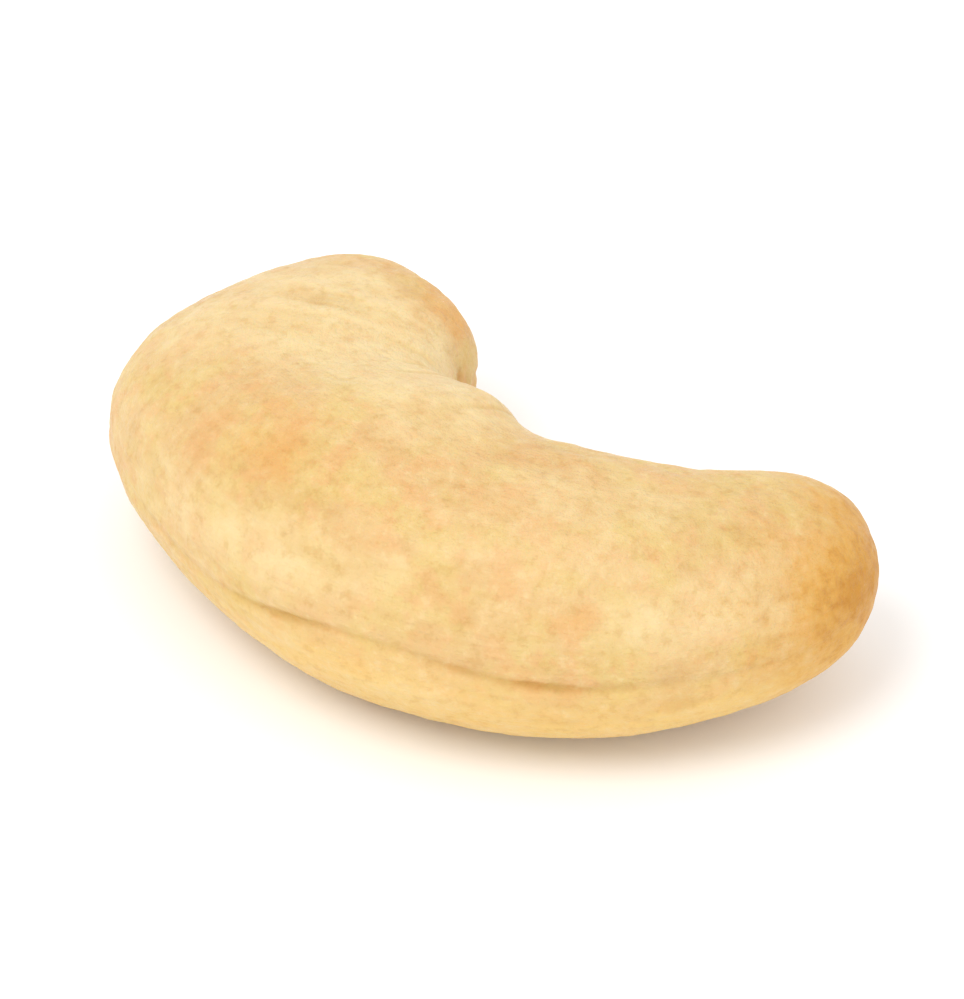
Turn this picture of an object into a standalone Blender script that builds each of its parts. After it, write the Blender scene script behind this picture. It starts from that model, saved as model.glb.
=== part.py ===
"""A roasted cashew kernel, lying on its cheek.

The kernel is one solid. It is drawn in the plane where its two seed leaves
meet: an outer and an inner edge run from the fat head to the slender tail,
and each outer point and the inner point that faces it carry one oval
cross-section. A sphere whose poles are the two tips is shaped to these
sections. Lengths are in millimetres until the mesh is placed.
"""
import math

import bmesh
import bpy
import numpy as np

MM = 0.001

# The edges in plan, and half the thickness as a share of half the width,
# for the upper and the lower seed leaf, at equal steps from tip to tip.
HEAD_TIP = (-4.8, 7.8)
TAIL_TIP = (13.2, 3.1)
TIP_SHARES = (0.76, 0.84)
STATIONS = (
    # outer edge, inner edge, upper share, lower share
    ((-8.8, 8.7), (-2.8, 6.2), 0.77, 0.77),
    ((-12.0, 5.6), (-2.7, 5.0), 0.74, 0.75),
    ((-13.8, 1.0), (-2.2, 3.7), 0.65, 0.73),
    ((-12.1, -3.3), (-1.3, 2.3), 0.68, 0.75),
    ((-7.8, -6.7), (0.7, 2.1), 0.80, 0.79),
    ((-1.7, -8.8), (2.0, 1.3), 0.89, 0.88),
    ((5.6, -8.1), (4.0, 1.5), 0.92, 0.94),
    ((10.9, -5.0), (7.0, 2.4), 0.90, 0.95),
    ((13.9, -0.7), (10.4, 4.3), 0.84, 0.90),
)

# Cross-section: an oval that is round outside and squarer inside
OUTER_POWER = 2.0
INNER_POWER = 2.5
INNER_FULLNESS = 0.06

# The flattened, slightly hollow inner face, and the valley and crease of the
# seam along the outer edge: depth, and half width as an angle. The hollow
# fills out at the bend: share, place along the kernel, and half length.
HOLLOW = (0.45, 0.55)
BEND_FILL = (0.75, 1.50, 0.40)
VALLEY = (0.12, 0.26)
CREASE = (0.10, 0.06)
INNER_SEAM = (0.18, 0.10)

# Where the outer seam is nearly closed: share, place along, and half length
SEAM_CLOSED = (0.7, 1.20, 0.45)

# How the outer seam strays from the middle plane: angle, place along, half length
SEAM_DRIFT = (
    (0.155, 1.95, 0.17),
    (-0.060, 1.60, 0.15),
)

# The root tip between the seed leaves at the head's inner corner, and the
# pit beside it: height, place along the kernel, and half lengths as angles
ROOT_TIP = (0.55, 0.64, 0.17, 0.30)
ROOT_PIT = (-0.30, 0.95, 0.10, 0.16)

# Slow swells of the surface: height, turns along and round, and phase
SWELLS = (
    (0.10, 3.0, 2, 0.4),
    (0.07, 5.0, 3, 2.1),
    (0.06, 7.0, 1, 4.0),
)

# The cheek is worn flat at this depth below the seam, and eased into the side
FLAT_DEPTH = 4.54
FLAT_EASE = 0.10

# Mesh density, and how far the segments crowd towards the two seams
RINGS = 50
SEGMENTS = 60
SEAM_CROWDING = 0.5

COLOUR = (0.82, 0.55, 0.27, 1.0)
ROUGHNESS = 0.45


def closed_curve(values):
    """Smooth closed curve through values that are equal steps of one turn apart."""
    knots = np.array(values, dtype=float)
    count = len(knots)
    ahead = np.roll(knots, -1, axis=0)
    behind = np.roll(knots, 1, axis=0)
    unit = np.eye(count)
    weights = 4 * unit + np.roll(unit, 1, axis=1) + np.roll(unit, -1, axis=1)
    slopes = np.linalg.solve(weights, 3 * (ahead - behind))

    def at(turn):
        step = turn * count / (2 * math.pi)
        whole = np.floor(step).astype(int)
        part = (step - whole).reshape(-1, 1)
        rest = 1 - part
        first = whole % count
        second = (whole + 1) % count
        ends = knots[first] * (1 + 2 * part) * rest ** 2 + knots[second] * (1 + 2 * rest) * part ** 2
        return ends + slopes[first] * part * rest ** 2 - slopes[second] * rest * part ** 2

    return at


def plan_curves():
    """The edge in plan and the thickness shares, out along one side and back along the other."""
    outer, inner, upper, lower = zip(*STATIONS)
    edge = closed_curve((HEAD_TIP, *outer, TAIL_TIP, *reversed(inner)))
    head_share, tail_share = TIP_SHARES
    shares = (head_share, *upper, tail_share, *reversed(lower))
    return edge, closed_curve([[share] for share in shares])


def all_but(share, along):
    """1 along the kernel, less a share that is lost round one place."""
    lost, place, half_along = share
    return 1 - lost * np.exp(-((along - place) / half_along) ** 2)


def bump(shape, along, off_centre):
    height, place, half_along, half_round = shape
    return height * np.exp(-((along - place) / half_along) ** 2 - (off_centre / half_round) ** 2)


def groove(shape, off_centre):
    depth, half_width = shape
    return depth * np.exp(-(off_centre / half_width) ** 2)


def seam_drift(along):
    """Angle from the middle plane up to the outer seam."""
    return sum(angle * np.exp(-((along - place) / half) ** 2) for angle, place, half in SEAM_DRIFT)


def swells(along, around):
    """Slow rise and fall that fades out at the tips."""
    total = 0
    for height, turns_along, turns_round, phase in SWELLS:
        total = total + height * np.sin(turns_along * along + phase) * np.cos(turns_round * around + phase)
    return total * np.sin(along)


def flatten_cheek(height):
    """Keep the lowest part of the cheek in one plane, with an eased border."""
    above = height + FLAT_DEPTH
    eased = (above + FLAT_EASE) ** 2 / (4 * FLAT_EASE)
    eased = np.where(above < -FLAT_EASE, 0, eased)
    return np.where(above > FLAT_EASE, above, eased)


def kernel_point(along, around):
    """Surface points in millimetres.

    along runs from 0 at the head tip to pi at the tail tip. around is 0 on
    the outer seam, pi / 2 on top and pi on the inner seam.
    """
    edge, share = plan_curves()
    outer = edge(along)
    inner = edge(2 * math.pi - along)
    middle = (outer + inner) / 2
    half_vector = (outer - inner) / 2
    half_width = np.linalg.norm(half_vector, axis=1)
    outward = half_vector / np.maximum(half_width, 1e-6)[:, None]

    cosine = np.cos(around)
    sine = np.sin(around)
    power = OUTER_POWER + (INNER_POWER - OUTER_POWER) * (1 - cosine) / 2
    radius = (np.abs(cosine) ** power + np.abs(sine) ** power) ** (-1 / power)
    swell = 1 + swells(along, around) / np.maximum(half_width, 1)
    across = radius * cosine * swell
    share_here = np.where(sine > 0, share(along)[:, 0], share(2 * math.pi - along)[:, 0])
    fullness = 1 - INNER_FULLNESS * cosine
    height = half_width * share_here * radius * sine * fullness * swell

    off_outer = (around - seam_drift(along)) % (2 * math.pi)
    from_outer = np.minimum(off_outer, 2 * math.pi - off_outer)
    from_inner = np.abs(around - math.pi)
    fade = np.sqrt(np.clip(np.sin(along), 0, 1))
    inward = groove(HOLLOW, from_inner) * all_but(BEND_FILL, along) + groove(INNER_SEAM, from_inner)
    inward = inward - bump(ROOT_TIP, along, from_inner) - bump(ROOT_PIT, along, from_inner)
    outer_seam = groove(VALLEY, from_outer) + groove(CREASE, from_outer)
    inward = inward - outer_seam * all_but(SEAM_CLOSED, along)
    plan = middle + half_vector * across[:, None] + outward * (inward * fade)[:, None]
    return np.column_stack((plan, flatten_cheek(height)))


def kernel_mesh(name):
    """A sphere whose poles are the two tips, carried onto the kernel's surface."""
    shape = bmesh.new()
    bmesh.ops.create_uvsphere(shape, u_segments=SEGMENTS, v_segments=RINGS, radius=1.0)
    places = np.array([vertex.co for vertex in shape.verts])
    along = np.arccos(np.clip(places[:, 2], -1, 1))
    turn = np.arctan2(places[:, 1], places[:, 0]) % (2 * math.pi)
    around = turn - SEAM_CROWDING * np.sin(2 * turn) / 2
    points = kernel_point(along, around)
    points[:, :2] -= (points[:, :2].min(axis=0) + points[:, :2].max(axis=0)) / 2
    for vertex, point in zip(shape.verts, points * MM):
        vertex.co = point
    bmesh.ops.triangulate(shape, faces=shape.faces)
    mesh = bpy.data.meshes.new(name)
    shape.to_mesh(mesh)
    shape.free()
    mesh.shade_smooth()
    return mesh


def roasted_material():
    material = bpy.data.materials.new("roasted_kernel")
    material.use_nodes = True
    shader = material.node_tree.nodes["Principled BSDF"]
    shader.inputs["Base Color"].default_value = COLOUR
    shader.inputs["Roughness"].default_value = ROUGHNESS
    shader.inputs["Metallic"].default_value = 0.0
    material.diffuse_color = COLOUR
    return material


def build():
    for thing in list(bpy.data.objects):
        bpy.data.objects.remove(thing)
    collection = bpy.data.collections.new("roasted_cashew_nut")
    bpy.context.scene.collection.children.link(collection)
    mesh = kernel_mesh("cashew_kernel")
    mesh.materials.append(roasted_material())
    kernel = bpy.data.objects.new("cashew_kernel", mesh)
    collection.objects.link(kernel)


build()
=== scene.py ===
import math

import bpy
import numpy as np
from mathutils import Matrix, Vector


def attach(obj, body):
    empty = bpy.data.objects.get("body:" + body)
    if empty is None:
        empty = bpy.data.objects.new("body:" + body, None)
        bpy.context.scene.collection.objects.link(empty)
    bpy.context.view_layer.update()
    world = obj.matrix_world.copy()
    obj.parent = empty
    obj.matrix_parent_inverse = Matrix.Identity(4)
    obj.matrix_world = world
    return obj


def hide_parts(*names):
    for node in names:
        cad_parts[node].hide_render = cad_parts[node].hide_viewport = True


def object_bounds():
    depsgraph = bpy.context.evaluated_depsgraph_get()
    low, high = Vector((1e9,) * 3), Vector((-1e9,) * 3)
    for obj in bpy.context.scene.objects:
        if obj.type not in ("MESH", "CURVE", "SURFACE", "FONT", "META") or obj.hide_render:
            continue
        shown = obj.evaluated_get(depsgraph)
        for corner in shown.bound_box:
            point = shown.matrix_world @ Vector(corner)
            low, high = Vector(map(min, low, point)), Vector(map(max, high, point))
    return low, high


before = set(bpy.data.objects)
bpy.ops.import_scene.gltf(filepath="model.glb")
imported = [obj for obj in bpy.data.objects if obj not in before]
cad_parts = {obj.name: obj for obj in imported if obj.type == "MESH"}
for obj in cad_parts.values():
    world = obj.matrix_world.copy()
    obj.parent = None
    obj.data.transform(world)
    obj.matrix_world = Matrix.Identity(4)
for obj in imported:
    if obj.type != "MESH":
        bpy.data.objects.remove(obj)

# A roasted cashew kernel at full detail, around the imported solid. The form is
# the solid's own formula, in millimetres, on a finer grid. Relief and colour
# masks are laid over it from the same two directions: along the kernel, from
# 0 at the head tip to pi at the tail tip, and around it, from 0 on the outer
# seam through pi / 2 on top to pi on the inner seam.

CAD_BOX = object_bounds()
MM = 0.001

# The edges in plan, and half the thickness as a share of half the width, as
# in the solid
HEAD_TIP = (-4.8, 7.8)
TAIL_TIP = (13.2, 3.1)
TIP_SHARES = (0.76, 0.84)
STATIONS = (
    # outer edge, inner edge, upper share, lower share
    ((-8.8, 8.7), (-2.8, 6.2), 0.77, 0.77),
    ((-12.0, 5.6), (-2.7, 5.0), 0.74, 0.75),
    ((-13.8, 1.0), (-2.2, 3.7), 0.65, 0.73),
    ((-12.1, -3.3), (-1.3, 2.3), 0.68, 0.75),
    ((-7.8, -6.7), (0.7, 2.1), 0.80, 0.79),
    ((-1.7, -8.8), (2.0, 1.3), 0.89, 0.88),
    ((5.6, -8.1), (4.0, 1.5), 0.92, 0.94),
    ((10.9, -5.0), (7.0, 2.4), 0.90, 0.95),
    ((13.9, -0.7), (10.4, 4.3), 0.84, 0.90),
)

# Cross-section: an oval that is round outside and squarer inside
OUTER_POWER = 2.0
INNER_POWER = 2.5
INNER_FULLNESS = 0.06

# The hollow inner face, and the valley and crease of the seam: depth, and half
# width as an angle. The hollow fills out at the bend, and the outer seam is
# nearly closed in one stretch: share, place along, and half length.
HOLLOW = (0.45, 0.55)
BEND_FILL = (0.75, 1.50, 0.40)
VALLEY = (0.12, 0.26)
CREASE = (0.10, 0.06)
INNER_SEAM = (0.18, 0.10)
SEAM_CLOSED = (0.7, 1.20, 0.45)

# How the outer seam strays from the middle plane: angle, place along, half length
SEAM_DRIFT = (
    (0.155, 1.95, 0.17),
    (-0.060, 1.60, 0.15),
)

# The root tip and the pit beside it: height, place along, and half lengths
ROOT_TIP = (0.55, 0.64, 0.17, 0.30)
ROOT_PIT = (-0.30, 0.95, 0.10, 0.16)

# Slow swells of the surface: height, turns along and round, and phase
SWELLS = (
    (0.10, 3.0, 2, 0.4),
    (0.07, 5.0, 3, 2.1),
    (0.06, 7.0, 1, 4.0),
)

# The cheek is flat at this depth below the seam, and eased into the side
FLAT_DEPTH = 4.54
FLAT_EASE = 0.10

# Mesh density, with two triangles for each ring and segment, and how far the
# segments crowd towards the two seams
RINGS = 400
SEGMENTS = 240
SEAM_CROWDING = 0.45


def closed_curve(values):
    """Smooth closed curve through values that are equal steps of one turn apart."""
    knots = np.array(values, dtype=float)
    count = len(knots)
    ahead = np.roll(knots, -1, axis=0)
    behind = np.roll(knots, 1, axis=0)
    unit = np.eye(count)
    weights = 4 * unit + np.roll(unit, 1, axis=1) + np.roll(unit, -1, axis=1)
    slopes = np.linalg.solve(weights, 3 * (ahead - behind))

    def at(turn):
        step = turn * count / (2 * math.pi)
        whole = np.floor(step).astype(int)
        part = (step - whole).reshape(-1, 1)
        rest = 1 - part
        first = whole % count
        second = (whole + 1) % count
        ends = knots[first] * (1 + 2 * part) * rest ** 2 + knots[second] * (1 + 2 * rest) * part ** 2
        return ends + slopes[first] * part * rest ** 2 - slopes[second] * rest * part ** 2

    return at


def plan_curves():
    """The edge in plan and the thickness shares, out along one side and back along the other."""
    outer, inner, upper, lower = zip(*STATIONS)
    edge = closed_curve((HEAD_TIP, *outer, TAIL_TIP, *reversed(inner)))
    head_share, tail_share = TIP_SHARES
    shares = (head_share, *upper, tail_share, *reversed(lower))
    return edge, closed_curve([[share] for share in shares])


def all_but(share, along):
    """1 along the kernel, less a share that is lost round one place."""
    lost, place, half_along = share
    return 1 - lost * np.exp(-((along - place) / half_along) ** 2)


def bump(shape, along, off_centre):
    height, place, half_along, half_round = shape
    return height * np.exp(-((along - place) / half_along) ** 2 - (off_centre / half_round) ** 2)


def groove(shape, off_centre):
    depth, half_width = shape
    return depth * np.exp(-(off_centre / half_width) ** 2)


def seam_drift(along):
    """Angle from the middle plane up to the outer seam."""
    return sum(angle * np.exp(-((along - place) / half) ** 2) for angle, place, half in SEAM_DRIFT)


def swells(along, around):
    """Slow rise and fall that fades out at the tips."""
    total = 0
    for height, turns_along, turns_round, phase in SWELLS:
        total = total + height * np.sin(turns_along * along + phase) * np.cos(turns_round * around + phase)
    return total * np.sin(along)


def tip_fade(along):
    """1 along most of the kernel, falling to 0 at the tips."""
    return np.sqrt(np.clip(np.sin(along), 0, 1))


def flatten_cheek(height):
    """Keep the lowest part of the cheek in one plane, with an eased border."""
    above = height + FLAT_DEPTH
    eased = (above + FLAT_EASE) ** 2 / (4 * FLAT_EASE)
    eased = np.where(above < -FLAT_EASE, 0, eased)
    return np.where(above > FLAT_EASE, above, eased)


def kernel_point(along, around):
    """Surface points in millimetres, and half the kernel's width at each."""
    edge, share = plan_curves()
    outer = edge(along)
    inner = edge(2 * math.pi - along)
    middle = (outer + inner) / 2
    half_vector = (outer - inner) / 2
    half_width = np.linalg.norm(half_vector, axis=1)
    outward = half_vector / np.maximum(half_width, 1e-6)[:, None]

    cosine = np.cos(around)
    sine = np.sin(around)
    power = OUTER_POWER + (INNER_POWER - OUTER_POWER) * (1 - cosine) / 2
    radius = (np.abs(cosine) ** power + np.abs(sine) ** power) ** (-1 / power)
    swell = 1 + swells(along, around) / np.maximum(half_width, 1)
    across = radius * cosine * swell
    share_here = np.where(sine > 0, share(along)[:, 0], share(2 * math.pi - along)[:, 0])
    fullness = 1 - INNER_FULLNESS * cosine
    height = half_width * share_here * radius * sine * fullness * swell

    off_outer = (around - seam_drift(along)) % (2 * math.pi)
    from_outer = np.minimum(off_outer, 2 * math.pi - off_outer)
    from_inner = np.abs(around - math.pi)
    inward = groove(HOLLOW, from_inner) * all_but(BEND_FILL, along) + groove(INNER_SEAM, from_inner)
    inward = inward - bump(ROOT_TIP, along, from_inner) - bump(ROOT_PIT, along, from_inner)
    outer_seam = groove(VALLEY, from_outer) + groove(CREASE, from_outer)
    inward = inward - outer_seam * all_but(SEAM_CLOSED, along)
    plan = middle + half_vector * across[:, None] + outward * (inward * tip_fade(along))[:, None]
    return np.column_stack((plan, flatten_cheek(height))), half_width


# Gradient noise: its seed, the length of its tables, the gain that brings it
# to about -1 to 1, and the shift from one octave to the next
NOISE_SEED = 11
NOISE_CELLS = 256
NOISE_GAIN = 1.6
OCTAVE_SHIFT = 17

random_numbers = np.random.RandomState(NOISE_SEED)
NOISE_ORDER = np.tile(random_numbers.permutation(NOISE_CELLS), 2)
NOISE_SLOPES = random_numbers.normal(size=(NOISE_CELLS, 3))
NOISE_SLOPES /= np.linalg.norm(NOISE_SLOPES, axis=1)[:, None]
CORNERS = [(x, y, z) for x in (0, 1) for y in (0, 1) for z in (0, 1)]


def smooth_noise(points):
    """Gradient noise with features one unit apart."""
    cell = np.floor(points).astype(int)
    inside = points - cell
    ease = inside ** 3 * (inside * (inside * 6 - 15) + 10)
    total = np.zeros(len(points))
    for corner in CORNERS:
        x, y, z = ((cell + corner) % NOISE_CELLS).T
        slope = NOISE_SLOPES[NOISE_ORDER[NOISE_ORDER[NOISE_ORDER[x] + y] + z]]
        weight = np.prod(np.where(corner, ease, 1 - ease), axis=1)
        total += weight * np.sum(slope * (inside - corner), axis=1)
    return NOISE_GAIN * total


def spots(points, octaves):
    """Smooth noise with finer and fainter noise added at each further octave."""
    octave = [smooth_noise(points * 2 ** step + OCTAVE_SHIFT * step) / 2 ** step for step in range(octaves)]
    return sum(octave)


def hill(value, centre, half_width):
    """1 at the centre, falling smoothly to 0 on both sides."""
    return np.exp(-((value - centre) / half_width) ** 2)


def step_up(value, start, end):
    """0 up to the start, and smoothly to 1 at the end."""
    part = np.clip((value - start) / (end - start), 0, 1)
    return part * part * (3 - 2 * part)


def step_down(value, start, end):
    return 1 - step_up(value, start, end)


def at_least(least, value):
    """Squeeze 0 to 1 into least to 1."""
    return least + (1 - least) * value


class Places:
    """Where each vertex lies: along and around the kernel, and in millimetres."""

    def __init__(self, along, around, points, half_width):
        self.along = along
        self.around = around
        self.points = points
        self.half_width = half_width
        self.length = spine_length(along)
        self.off_seam = (around - seam_drift(along) + math.pi) % (2 * math.pi) - math.pi
        self.off_inner = around - math.pi
        self.fade = tip_fade(along)

    def grain(self, step_along, step_round, shift=0.0):
        """Noise coordinates that follow the kernel, stretched along or around it."""
        outward = self.half_width * np.cos(self.around) / step_round
        upward = self.half_width * np.sin(self.around) / step_round
        return np.column_stack((self.length / step_along, outward, upward)) + shift

    def even_noise(self, strength, spacing, octaves, shift):
        """Noise with the same spacing in all directions."""
        return strength * spots(self.points / spacing + shift, octaves)

    def long_noise(self, strength, step_along, step_round, octaves, shift):
        """Noise with one spacing along the kernel and another round it."""
        return strength * spots(self.grain(step_along, step_round, shift), octaves)

    def patch(self, strength, along, around, half_along, half_round):
        """A soft oval patch."""
        gap = (self.around - around + math.pi) % (2 * math.pi) - math.pi
        return strength * np.exp(-((self.along - along) / half_along) ** 2 - (gap / half_round) ** 2)

    def patches(self, values):
        return sum(self.patch(*value) for value in values)


SPINE_POINTS = 600


def spine_length(along):
    """Millimetres along the middle of the kernel from the head tip."""
    edge, _ = plan_curves()
    turns = np.linspace(0, math.pi, SPINE_POINTS)
    middle = (edge(turns) + edge(2 * math.pi - turns)) / 2
    steps = np.linalg.norm(np.diff(middle, axis=0), axis=1)
    return np.interp(along, turns, np.concatenate(([0], np.cumsum(steps))))


# Relief, in millimetres. Dents and peel: height, spacing, octaves, noise shift.
DENTS = (0.060, 3.4, 2, 0.0)
PEEL = (0.026, 0.75, 3, 7.0)

# Facets and streaks: height, spacing along, spacing round, octaves, noise shift
FACETS = (0.045, 9.0, 2.4, 1, 31.0)
STREAKS = (0.020, 5.0, 0.8, 2, 3.0)
FINE_STREAKS = (0.010, 2.6, 0.34, 1, 13.0)

# Height of the wrinkle bands, and depths of the lines and creases
BAND_HEIGHT = 0.030
WRINKLE_DEPTH = 0.030
NOTCH_DEPTH = 0.05
SEAM_DEPTH = 0.06
ROOT_DEPTH = 0.09

# Ridges beside the seams, and the fill of the outer seam near the tail tip:
# height, angle off the seam, and half width
SEAM_LIP = (0.02, 0.13, 0.09)
SHOULDER_RIDGE = (0.09, 0.78, 0.13)
SEAM_FILL = (0.07, 0.0, 0.07)

# Where along the kernel the ridge rises, and where the outer seam fills up
SHOULDER_RISE = (0.4, 1.2)
TAIL_CLOSED = (2.30, 2.72)

# The recess beside the notch is partly filled: height, along, around, half extents
NOTCH_FILL = (0.35, 1.26, 2.44, 0.22, 0.30)

# The fine crease of the outer seam: half width, how it wanders, where along it
# deepens, what it keeps of its depth at the head and at the tail tip, and
# where it opens and closes, with what it keeps where it is closed
SEAM_HALF_WIDTH = 0.038
SEAM_WANDER = (0.030, 6.0, 50.0, 1, 3.0)
SEAM_DEEPENS = (1.6, 1.85)
HEAD_KEEPS = 0.3
TAIL_KEEPS = 0.1
SEAM_OPENING = (1.0, 3.5, 60.0, 2, 21.0)
OPENING_REACH = (-0.35, 0.45)
CLOSED_KEEPS = 0.3

# The fine crease of the inner seam: half width, how it wanders, where it begins
INNER_HALF_WIDTH = 0.035
INNER_WANDER = (0.05, 5.0, 50.0, 1, 9.0)
INNER_BEGINS = (0.75, 1.0)

# Short creases that run out of the notch: along, slant, start and end around, depth
NOTCH_CREASES = (
    (1.02, 0.10, 1.95, 2.75, 0.5),
    (1.18, 0.02, 2.05, 2.85, 0.7),
    (1.34, -0.04, 1.85, 2.80, 1.0),
    (1.52, -0.02, 2.00, 2.70, 0.6),
    (1.74, 0.06, 1.90, 2.75, 0.8),
    (1.30, 0.05, 3.45, 4.30, 0.8),
    (1.55, 0.00, 3.50, 4.20, 0.6),
)
NOTCH_HALF_WIDTH = 0.020

# Where the surface is wrinkled across: strength, along, around, half extents
WRINKLED = (
    (1.0, 0.80, 1.65, 0.36, 0.80),
    (0.8, 1.45, 2.35, 0.38, 0.45),
    (0.5, 1.50, 4.00, 0.40, 0.50),
    (0.5, 0.80, 4.60, 0.36, 0.70),
)

# Wrinkles: spacing along and noise shift of the bands and of the fine lines,
# their spacing round the kernel, and how they wave
BAND_STEPS = (1.0, 25.0)
BAND_GAIN = 1.4
LINE_STEPS = (1.2, 5.0)
LINE_HALF_WIDTH = 0.24
WRINKLE_STEP_ROUND = 8.0
WRINKLE_WAVE = (0.30, 2.4, 1, 11.0)

# Where the fine lines show: noise, and the stretch of it from none to full
LINE_PLACES = (1.0, 1.8, 1, 51.0)
LINE_REACH = (-0.2, 0.6)

# The crease that rounds the root tip, as a ring at this share of the tip's
# size: ring, half width, start on the bend side, and end round the kernel
ROOT_RING = 1.25
ROOT_RING_HALF_WIDTH = 0.22
ROOT_RING_START = (-0.05, 0.15)
ROOT_RING_END = (0.25, 0.60)


def seam_line(places):
    """1 in the fine crease between the seed leaves, with stretches where it closes."""
    line = hill(places.off_seam, places.long_noise(*SEAM_WANDER), SEAM_HALF_WIDTH)
    opening = at_least(CLOSED_KEEPS, step_up(places.long_noise(*SEAM_OPENING), *OPENING_REACH))
    head = at_least(HEAD_KEEPS, step_up(places.along, *SEAM_DEEPENS))
    tail = at_least(TAIL_KEEPS, step_down(places.along, *TAIL_CLOSED))
    return line * opening * head * tail * places.fade * all_but(SEAM_CLOSED, places.along)


def inner_line(places):
    line = hill(places.off_inner, places.long_noise(*INNER_WANDER), INNER_HALF_WIDTH)
    return line * step_up(places.along, *INNER_BEGINS) * places.fade


def notch_lines(places):
    """1 in the short creases at the bend."""
    total = 0
    for along, slant, start, end, depth in NOTCH_CREASES:
        middle = (start + end) / 2
        centre = along + slant * (places.around - middle)
        reach = step_up(places.around, start, middle) * step_down(places.around, middle, end)
        total = total + depth * reach * hill(places.along, centre, NOTCH_HALF_WIDTH)
    return np.clip(total, 0, 1)


def crosswise(places, step_along, shift):
    """Noise for wavy wrinkles that run across the kernel."""
    place = places.grain(step_along, WRINKLE_STEP_ROUND, shift)
    place[:, 0] += places.even_noise(*WRINKLE_WAVE)
    return spots(place, 2)


def wrinkled(places):
    return np.clip(places.patches(WRINKLED), 0, 1)


def wrinkle_bands(places):
    """Broad swells across the head and the bend, from about -1 to 1."""
    return BAND_GAIN * crosswise(places, *BAND_STEPS) * wrinkled(places)


def wrinkle_lines(places):
    """1 in the fine wrinkles, which lie where their noise changes sign."""
    lines = hill(crosswise(places, *LINE_STEPS), 0, LINE_HALF_WIDTH)
    return lines * step_up(places.even_noise(*LINE_PLACES), *LINE_REACH) * wrinkled(places)


def root_crease(places):
    """1 in the crease that rounds the root tip."""
    _, along, half_along, half_round = ROOT_TIP
    reach = np.sqrt(((places.along - along) / half_along) ** 2 + (places.off_inner / half_round) ** 2)
    start, full = ROOT_RING_START
    bend_side = step_up(places.along, along + start, along + full)
    near_seam = step_down(np.abs(places.off_inner), *ROOT_RING_END)
    return hill(reach, ROOT_RING, ROOT_RING_HALF_WIDTH) * bend_side * near_seam


def ridge(shape, off_centre):
    height, centre, half_width = shape
    return height * hill(off_centre, centre, half_width)


def relief(places, lines):
    """Height above the form in millimetres."""
    height = places.even_noise(*DENTS)
    height += places.long_noise(*FACETS)
    height += places.long_noise(*STREAKS)
    height += places.long_noise(*FINE_STREAKS)
    height += places.even_noise(*PEEL)
    height += BAND_HEIGHT * lines["bands"]
    height -= WRINKLE_DEPTH * lines["wrinkle"]
    height -= NOTCH_DEPTH * lines["notch"]
    height -= SEAM_DEPTH * (lines["seam"] + lines["inner"])
    height -= ROOT_DEPTH * lines["root"]
    height += ridge(SEAM_LIP, places.off_seam) * places.fade
    height += ridge(SEAM_FILL, places.off_seam) * step_up(places.along, *TAIL_CLOSED) * places.fade
    shoulder = ridge(SHOULDER_RIDGE, np.abs(places.off_inner))
    height += shoulder * step_up(places.along, *SHOULDER_RISE) * places.fade
    height += places.patch(*NOTCH_FILL)
    return height


# Colour masks. Patches: strength, along, around, half extents.
PALE = (
    (1.0, 0.80, 1.50, 0.36, 0.85),
    (1.0, 1.15, 2.10, 0.30, 0.50),
    (1.0, 1.70, 1.95, 0.24, 0.42),
    (0.7, 0.93, 2.35, 0.20, 0.35),
    (0.5, 1.44, 2.00, 0.16, 0.30),
    (0.4, 1.02, 0.90, 0.22, 0.30),
    (0.7, 1.40, 0.33, 0.40, 0.30),
    (0.6, 1.86, 0.60, 0.22, 0.32),
    (0.8, 2.48, 0.58, 0.24, 0.36),
    (0.8, 2.25, 1.70, 0.28, 0.36),
    (0.3, 2.42, 1.30, 0.24, 0.40),
)
ORANGE = (
    (0.40, 1.52, 1.05, 0.24, 0.46),
    (0.35, 1.62, 1.02, 0.10, 0.22),
    (0.45, 2.25, 0.62, 0.10, 0.16),
    # On the head's side by the notch: the kernel's own toast, together with a painted reflection of orange
    # light from a neighbouring kernel
    (0.80, 0.42, 2.30, 0.28, 0.50),
    (0.50, 2.97, 1.30, 0.14, 0.60),
)

# What makes the patches' borders uneven, as noise, and how they step to full
PALE_EDGE = (0.22, 1.6, 2, 41.0)
ORANGE_EDGE = (0.20, 1.1, 2, 41.0)
PATCH_REACH = (0.15, 0.95)

# Toast on the tail: where along it rises, and how far it leans round the
# kernel, with a browner patch on the rim
TAIL_TOAST = (2.45, 3.30)
TAIL_TOAST_LEAN = 0.10
TAIL_BROWN = (0.34, 2.87, 0.45, 0.15, 0.45)

# Toast on the head tip: strength, and where along it ends
HEAD_TOAST = 0.45
HEAD_TOAST_END = (0.0, 0.60)

# Toast on the crests beside the inner seam: strength, angle off the seam, half
# width, where along it rises, and what the upper crest gets of it
SHOULDER_TOAST = (0.40, 0.75, 0.18)
SHOULDER_TOAST_RISE = (1.5, 2.1)
UPPER_CREST_TOAST = 0.30

# The toast's gain, the part of it that stays bare, and its uneven spread
TOAST_GAIN = 1.15
TOAST_BARE = 0.05
TOAST_SPREAD = (0.14, 2.2, 2, 41.0)
TOAST_SPECKS = (0.06, 0.7, 2, 41.0)

# The lower seed leaf, yellower in its own colour and lightened with painted bounce light from the floor:
# from its lowest part up to the seam as angles, and where along it begins
RIM_LOWER = (-1.5, -0.5)
RIM_UPPER = (-0.45, 0.15)
RIM_BEGINS = (1.2, 1.8)

# How strongly each kind of crease is darkened with painted shade, and the relief that fills its mask
NOTCH_SHADE = 0.6
ROOT_SHADE = 0.8
RELIEF_RANGE = 0.2


def patch_mask(places, patches, edge):
    return step_up(places.patches(patches) + places.even_noise(*edge), *PATCH_REACH)


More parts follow.
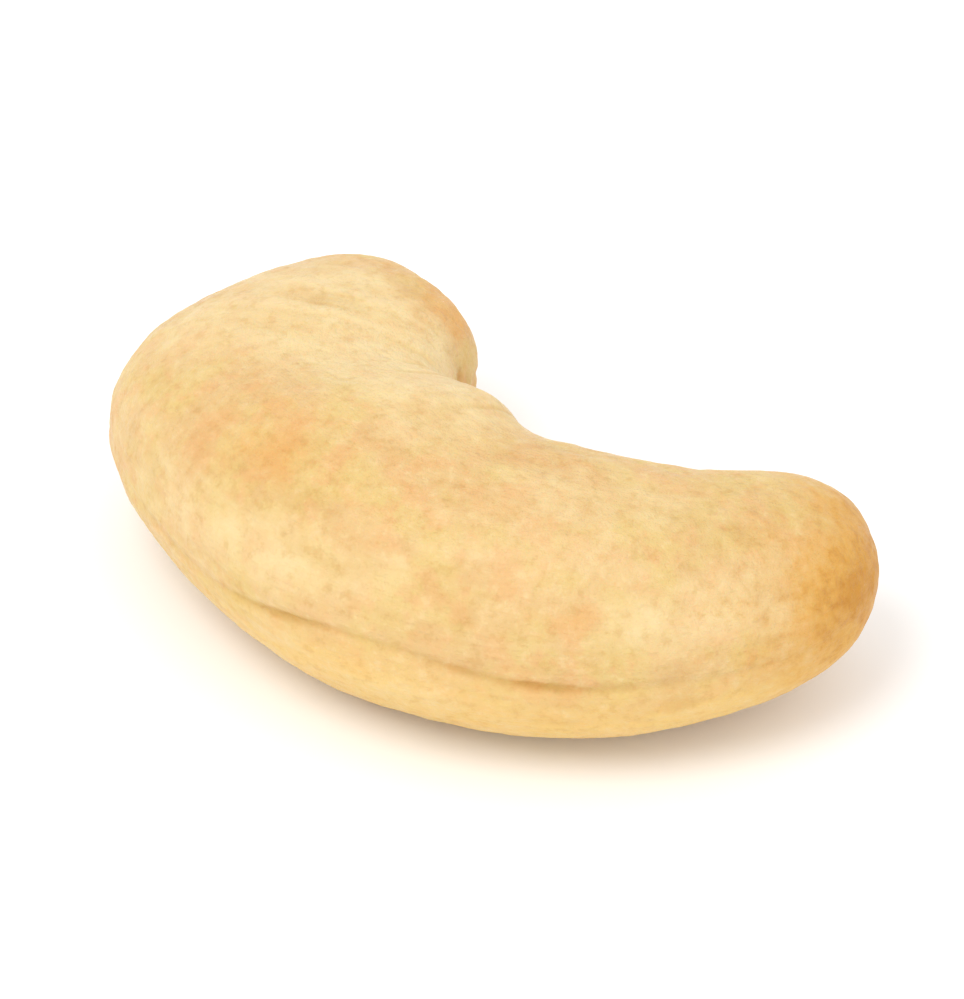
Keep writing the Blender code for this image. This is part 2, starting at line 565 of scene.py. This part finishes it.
def toast_mask(places):
    """The tips and the crests beside the inner seam take the most colour."""
    tail = step_up(places.along + TAIL_TOAST_LEAN * np.cos(places.around), *TAIL_TOAST)
    head = HEAD_TOAST * step_down(places.along, *HEAD_TOAST_END)
    shoulder = ridge(SHOULDER_TOAST, np.abs(places.off_inner)) * places.fade
    shoulder *= step_up(places.along, *SHOULDER_TOAST_RISE)
    shoulder *= np.where(places.off_inner > 0, 1, UPPER_CREST_TOAST)
    spread = places.even_noise(*TOAST_SPREAD) + places.even_noise(*TOAST_SPECKS)
    toast = TOAST_GAIN * (tail + head + shoulder) + places.patch(*TAIL_BROWN)
    return np.clip(toast + spread - TOAST_BARE, 0, 1)


def lower_leaf_and_bounce_mask(places):
    """The lower seed leaf: yellower than the upper one in its own colour, and lightened with painted bounce
    light from the floor.
    """
    below = step_up(places.off_seam, *RIM_LOWER) * step_down(places.off_seam, *RIM_UPPER)
    return below * step_up(places.along, *RIM_BEGINS)


def grid_faces():
    """Quads between the rings, and a fan of triangles at each tip."""
    first = 1 + np.arange(RINGS - 1) * SEGMENTS
    turn = np.arange(SEGMENTS)
    ahead = (turn + 1) % SEGMENTS
    faces = []
    for near, far in zip(first[:-1], first[1:]):
        quads = np.column_stack((near + turn, far + turn, far + ahead, near + ahead))
        faces.extend(quads.tolist())
    tail = 1 + (RINGS - 1) * SEGMENTS
    last = int(first[-1])
    pairs = list(zip(turn.tolist(), ahead.tolist()))
    faces.extend([0, 1 + here, 1 + there] for here, there in pairs)
    faces.extend([tail, last + there, last + here] for here, there in pairs)
    return faces


def grid_places():
    """Along and around for the head tip, each ring in turn, and the tail tip."""
    rings = np.linspace(0, math.pi, RINGS + 1)[1:-1]
    turn = np.arange(SEGMENTS) * 2 * math.pi / SEGMENTS
    around = turn - SEAM_CROWDING * np.sin(2 * turn) / 2
    along = np.concatenate(([0], np.repeat(rings, SEGMENTS), [math.pi]))
    return along, np.concatenate(([0], np.tile(around, RINGS - 1), [0]))


def vertex_normals(mesh):
    normals = np.empty(len(mesh.vertices) * 3)
    mesh.vertices.foreach_get("normal", normals)
    return normals.reshape(-1, 3)


def save_masks(mesh, masks):
    for name, values in masks.items():
        mask = mesh.attributes.new(name, "FLOAT", "POINT")
        mask.data.foreach_set("value", np.clip(values, 0, 1).astype(np.float32))


def save_vector(mesh, name, values):
    place = mesh.attributes.new(name, "FLOAT_VECTOR", "POINT")
    place.data.foreach_set("vector", values.astype(np.float32).ravel())


def kernel_mesh(name):
    """The form on a fine grid, with relief along its normals and masks for the colours."""
    along, around = grid_places()
    points, half_width = kernel_point(along, around)
    points[:, :2] -= (points[:, :2].min(axis=0) + points[:, :2].max(axis=0)) / 2
    mesh = bpy.data.meshes.new(name)
    mesh.from_pydata(points.tolist(), [], grid_faces())
    mesh.update()
    places = Places(along, around, points, half_width)
    lines = {
        "bands": wrinkle_bands(places),
        "wrinkle": wrinkle_lines(places),
        "notch": notch_lines(places),
        "seam": seam_line(places),
        "inner": inner_line(places),
        "root": root_crease(places),
    }
    height = relief(places, lines)
    raised = points + vertex_normals(mesh) * height[:, None]
    raised[:, 2] = np.maximum(raised[:, 2], 0)
    mesh.vertices.foreach_set("co", (raised * MM).ravel())
    mesh.update()
    mesh.shade_smooth()
    save_masks(mesh, {
        # Wrinkle bands, which the material turns into painted highlight on their crests and painted shade
        # between them
        "bands": 0.5 + 0.5 * lines["bands"],
        # Fine wrinkle lines, which the material darkens with painted shade
        "wrinkle": lines["wrinkle"],
        # Creases at the notch and round the root tip, which the material darkens with painted shade
        "crease_shade": NOTCH_SHADE * lines["notch"] + ROOT_SHADE * lines["root"],
        # The outer and inner seam creases, which the material darkens with painted shade
        "seam": lines["seam"] + lines["inner"],
        "pale": patch_mask(places, PALE, PALE_EDGE),
        "orange": patch_mask(places, ORANGE, ORANGE_EDGE),
        "toast": toast_mask(places),
        # The lower seed leaf's own yellower tone, with painted bounce light from the floor
        "lower_leaf_and_bounce": lower_leaf_and_bounce_mask(places),
        # The relief's height, which the material turns into painted highlight on crests and painted shade
        # in dips
        "raised": 0.5 + height / RELIEF_RANGE,
    })
    save_vector(mesh, "grain", places.grain(1.0, 1.0))
    return mesh


# The kernel's colours, and the tints that are multiplied over them: the tan tint is the kernel's own mottle
# and also painted shade in dips and between wrinkle bands, and the other two are painted shade in the
# wrinkles, seams and creases
BODY = (0.705, 0.463, 0.194, 1)
WARM = (0.730, 0.425, 0.172, 1)
YELLOW = (0.705, 0.495, 0.182, 1)
PALE_COLOUR = (0.810, 0.620, 0.320, 1)
ORANGE_COLOUR = (0.710, 0.380, 0.112, 1)
HONEY_COLOUR = (0.690, 0.360, 0.060, 1)
TOAST_COLOUR = (0.560, 0.240, 0.014, 1)
# The lower seed leaf's own yellower colour, lightened as painted bounce light from the floor
LOWER_LEAF_AND_BOUNCE_COLOUR = (0.830, 0.560, 0.180, 1)
# Tan: the kernel's own mottle, and painted shade in dips of the relief and between wrinkle bands
TAN_TINT = (0.900, 0.830, 0.710, 1)
# Painted shade in the fine wrinkle lines
WRINKLE_SHADE_TINT = (0.860, 0.770, 0.600, 1)
# Painted shade in the seams and in the creases at the notch and the root tip
CREASE_SHADE_TINT = (0.850, 0.760, 0.470, 1)

# The most that the lower seed leaf takes of its yellower colour with painted bounce light, and the most
# that the fine wrinkle lines take of their painted shade
LOWER_LEAF_AND_BOUNCE_SHARE = 0.75
WRINKLE_SHADE_SHARE = 0.6

# Noise in the material, on millimetres: scale, detail and roughness
BROAD = (0.42, 3.0, 0.55)
MIDDLING = (0.95, 3.0, 0.6)
GRANULES = (2.1, 3.0, 0.65)
BLISTERS = (3.2, 4.0, 0.62)
GLOSS = (0.9, 4.0, 0.6)
STRETCHED = (1.0, 2.0, 0.5)

# Streaks in the colour and hairs in the bump: scale along, and twice round
STREAK_SCALE = (0.22, 1.3, 1.3)
HAIR_SCALE = (0.55, 6.0, 6.0)
HAIR_SHARE = 0.35

# The bump's strength, and its height in metres
BUMP_STRENGTH = 0.8
BUMP_HEIGHT = 0.00014

# Roughness goes from the glossiest to the dullest as the gloss noise rises
GLOSS_REACH = (0.35, 0.65)
ROUGHNESS = (0.40, 0.58)

# Shader values that are the same all over, with the subsurface scale in metres
KERNEL_FINISH = {
    "Specular IOR Level": 0.4,
    "Subsurface Weight": 0.22,
    "Subsurface Radius": (1.0, 0.5, 0.2),
    "Subsurface Scale": 0.0007,
}
FLOOR_FINISH = {
    "Base Color": (0.98, 0.98, 0.98, 1),
    "Roughness": 0.8,
    "Specular IOR Level": 0.1,
}

# A mix node's sockets for a colour, which share their names with others
MIX_FACTOR = 0
MIX_FIRST = 6
MIX_SECOND = 7
MIX_RESULT = 2


class Graph:
    """Adds nodes to one material; values may be numbers or other nodes' outputs."""

    def __init__(self, material):
        self.tree = material.node_tree

    def feed(self, socket, value):
        if isinstance(value, bpy.types.NodeSocket):
            self.tree.links.new(value, socket)
        else:
            socket.default_value = value

    def add(self, kind, settings=None, inputs=None):
        node = self.tree.nodes.new(kind)
        for name, value in (settings or {}).items():
            setattr(node, name, value)
        for name, value in (inputs or {}).items():
            self.feed(node.inputs[name], value)
        return node

    def attribute(self, name, output="Fac"):
        return self.add("ShaderNodeAttribute", {"attribute_name": name}).outputs[output]

    def stretch(self, vector, scale):
        return self.add("ShaderNodeMapping", inputs={"Vector": vector, "Scale": scale}).outputs["Vector"]

    def noise(self, vector, settings):
        scale, detail, roughness = settings
        values = {"Vector": vector, "Scale": scale, "Detail": detail, "Roughness": roughness}
        return self.add("ShaderNodeTexNoise", inputs=values).outputs["Fac"]

    def span(self, value, reach, result=(0.0, 1.0)):
        """Map reach onto result, smoothly and without overshoot."""
        values = {"Value": value, "From Min": reach[0], "From Max": reach[1]}
        values.update({"To Min": result[0], "To Max": result[1]})
        node = self.add("ShaderNodeMapRange", {"interpolation_type": "SMOOTHSTEP"}, values)
        return node.outputs["Result"]

    def calculate(self, operation, first, second):
        node = self.add("ShaderNodeMath", {"operation": operation}, {0: first, 1: second})
        return node.outputs["Value"]

    def times(self, first, second):
        return self.calculate("MULTIPLY", first, second)

    def mix(self, factor, under, over, blend="MIX"):
        sockets = {MIX_FACTOR: factor, MIX_FIRST: under, MIX_SECOND: over}
        node = self.add("ShaderNodeMix", {"data_type": "RGBA", "blend_type": blend}, sockets)
        return node.outputs[MIX_RESULT]

    def paint(self, under, value, reach, most, over, blend="MIX"):
        """A colour laid over another: none at the start of the value's reach, most at its end."""
        return self.mix(self.span(value, reach, (0.0, most)), under, over, blend)


def kernel_colour(graph, millimetres, grain):
    """Mottled straw, paler and more toasted where the masks say so, with painted highlight and shade on the
    relief, painted shade in the wrinkles, creases and seams, and painted bounce light on the lower seed
    leaf.
    """
    middling = graph.noise(millimetres, MIDDLING)
    granules = graph.noise(millimetres, GRANULES)
    bands = graph.attribute("bands")
    raised = graph.attribute("raised")

    colour = graph.paint(BODY, graph.noise(millimetres, BROAD), (0.42, 0.62), 1.0, YELLOW)
    colour = graph.paint(colour, middling, (0.46, 0.66), 0.75, WARM)
    # The lower seed leaf: its own yellower tone, with painted bounce light from the floor
    colour = graph.mix(graph.times(graph.attribute("lower_leaf_and_bounce"), LOWER_LEAF_AND_BOUNCE_SHARE), colour, LOWER_LEAF_AND_BOUNCE_COLOUR)

    pale = graph.times(graph.attribute("pale"), graph.span(middling, (0.30, 0.60), (1.0, 0.6)))
    colour = graph.mix(pale, colour, PALE_COLOUR)
    streaks = graph.noise(graph.stretch(grain, STREAK_SCALE), STRETCHED)
    colour = graph.paint(colour, streaks, (0.50, 0.78), 0.35, PALE_COLOUR)
    # Painted highlight on the crests of the wrinkle bands
    colour = graph.paint(colour, bands, (0.50, 1.0), 0.8, PALE_COLOUR)
    colour = graph.paint(colour, granules, (0.52, 0.72), 0.40, PALE_COLOUR)
    # Painted highlight on the raised relief
    colour = graph.paint(colour, raised, (0.55, 0.90), 0.3, PALE_COLOUR)

    orange = graph.times(graph.attribute("orange"), graph.span(middling, (0.30, 0.55), (0.5, 1.0)))
    colour = graph.mix(orange, colour, ORANGE_COLOUR)
    toast = graph.times(graph.attribute("toast"), graph.span(granules, (0.30, 0.70), (1.15, 0.82)))
    colour = graph.paint(colour, toast, (0.0, 0.6), 0.85, HONEY_COLOUR)
    colour = graph.paint(colour, toast, (0.40, 1.0), 0.8, TOAST_COLOUR)

    colour = graph.paint(colour, granules, (0.50, 0.30), 0.75, TAN_TINT, "MULTIPLY")
    # Painted shade in the dips of the relief
    colour = graph.paint(colour, raised, (0.50, 0.15), 0.7, TAN_TINT, "MULTIPLY")
    # Painted shade between the wrinkle bands
    colour = graph.paint(colour, bands, (0.45, 0.0), 0.4, TAN_TINT, "MULTIPLY")
    # Painted shade in the fine wrinkle lines
    colour = graph.mix(graph.times(graph.attribute("wrinkle"), WRINKLE_SHADE_SHARE), colour, WRINKLE_SHADE_TINT, "MULTIPLY")
    # Painted shade in the creases at the notch and round the root tip
    colour = graph.mix(graph.attribute("crease_shade"), colour, CREASE_SHADE_TINT, "MULTIPLY")
    # Painted shade in the seam creases
    return graph.mix(graph.attribute("seam"), colour, CREASE_SHADE_TINT, "MULTIPLY")


def kernel_bump(graph, millimetres, grain):
    """Grain finer than the mesh: micro blisters, and hair-fine streaks along the kernel."""
    blisters = graph.noise(millimetres, BLISTERS)
    hairs = graph.noise(graph.stretch(grain, HAIR_SCALE), STRETCHED)
    height = graph.calculate("ADD", blisters, graph.times(hairs, HAIR_SHARE))
    values = {"Height": height, "Strength": BUMP_STRENGTH, "Distance": BUMP_HEIGHT}
    return graph.add("ShaderNodeBump", inputs=values).outputs["Normal"]


def new_material(name, finish):
    """A material with fixed shader values, and its shader."""
    material = bpy.data.materials.new(name)
    material.use_nodes = True
    shader = material.node_tree.nodes["Principled BSDF"]
    for socket, value in finish.items():
        shader.inputs[socket].default_value = value
    return material, shader


def roasted_material():
    material, shader = new_material("roasted_kernel", KERNEL_FINISH)
    graph = Graph(material)
    position = graph.add("ShaderNodeTexCoord").outputs["Object"]
    millimetres = graph.stretch(position, (1 / MM, 1 / MM, 1 / MM))
    grain = graph.attribute("grain", "Vector")
    roughness = graph.span(graph.noise(millimetres, GLOSS), GLOSS_REACH, ROUGHNESS)
    graph.feed(shader.inputs["Base Color"], kernel_colour(graph, millimetres, grain))
    graph.feed(shader.inputs["Roughness"], roughness)
    graph.feed(shader.inputs["Normal"], kernel_bump(graph, millimetres, grain))
    return material


def make_kernel():
    mesh = kernel_mesh("roasted_kernel")
    mesh.materials.append(roasted_material())
    kernel = bpy.data.objects.new("roasted_kernel", mesh)
    bpy.context.scene.collection.objects.link(kernel)
    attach(kernel, "root")
    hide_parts("cashew_kernel")


# The floor, in metres, wide enough to have no edge in a low view
FLOOR_SIZE = 20.0


def make_floor():
    bpy.ops.mesh.primitive_plane_add(size=FLOOR_SIZE, location=(0, 0, 0))
    floor = bpy.context.object
    floor.name = "floor"
    material, _ = new_material("pale_floor", FLOOR_FINISH)
    floor.data.materials.append(material)


# Round area lights: name, azimuth, elevation, distance, size and power
LIGHTS = (
    ("key", -20, 60, 0.5, 0.28, 0.85),
    ("fill", 80, 40, 0.6, 0.5, 0.2),
)
WORLD_COLOUR = (1, 1, 1, 1)
WORLD_STRENGTH = 1.0

# The camera's angles and lens, the metres that its frame spans at the kernel,
# and the frame in pixels
CAMERA_AZIMUTH = 25
CAMERA_ELEVATION = 40
LENS = 400
VIEW_WIDTH = 0.0325
CLIP_START = 0.01
CLIP_END = 10
FRAME_WIDTH = 964
FRAME_HEIGHT = 999


def direction(azimuth, elevation):
    """Unit vector from the kernel towards a place round it; azimuth 0 is in front, at -Y."""
    turn = math.radians(azimuth)
    rise = math.radians(elevation)
    return Vector((math.sin(turn) * math.cos(rise), -math.cos(turn) * math.cos(rise), math.sin(rise)))


def place_facing(name, data, centre, towards, distance):
    """A light or camera at a distance from the centre, looking back at it."""
    thing = bpy.data.objects.new(name, data)
    thing.location = centre + towards * distance
    thing.rotation_mode = "QUATERNION"
    thing.rotation_quaternion = (-towards).to_track_quat("-Z", "Y")
    bpy.context.scene.collection.objects.link(thing)
    return thing


def make_lights():
    for name, azimuth, elevation, distance, size, power in LIGHTS:
        data = bpy.data.lights.new(name, "AREA")
        data.shape = "DISK"
        data.size = size
        data.energy = power
        place_facing(name, data, Vector((0, 0, 0)), direction(azimuth, elevation), distance)


def make_world():
    world = bpy.data.worlds.new("studio")
    bpy.context.scene.world = world
    world.use_nodes = True
    background = world.node_tree.nodes["Background"]
    background.inputs["Color"].default_value = WORLD_COLOUR
    background.inputs["Strength"].default_value = WORLD_STRENGTH


def make_camera():
    data = bpy.data.cameras.new("camera")
    data.lens = LENS
    data.clip_start = CLIP_START
    data.clip_end = CLIP_END
    low, high = CAD_BOX
    middle = (Vector(low) + Vector(high)) / 2
    frame_on_sensor = data.sensor_width * FRAME_WIDTH / FRAME_HEIGHT
    distance = VIEW_WIDTH * LENS / frame_on_sensor
    towards = direction(CAMERA_AZIMUTH, CAMERA_ELEVATION)
    bpy.context.scene.camera = place_facing("camera", data, middle, towards, distance)


make_kernel()
make_floor()
make_lights()
make_world()
make_camera()
bpy.context.scene.view_settings.view_transform = "Standard"
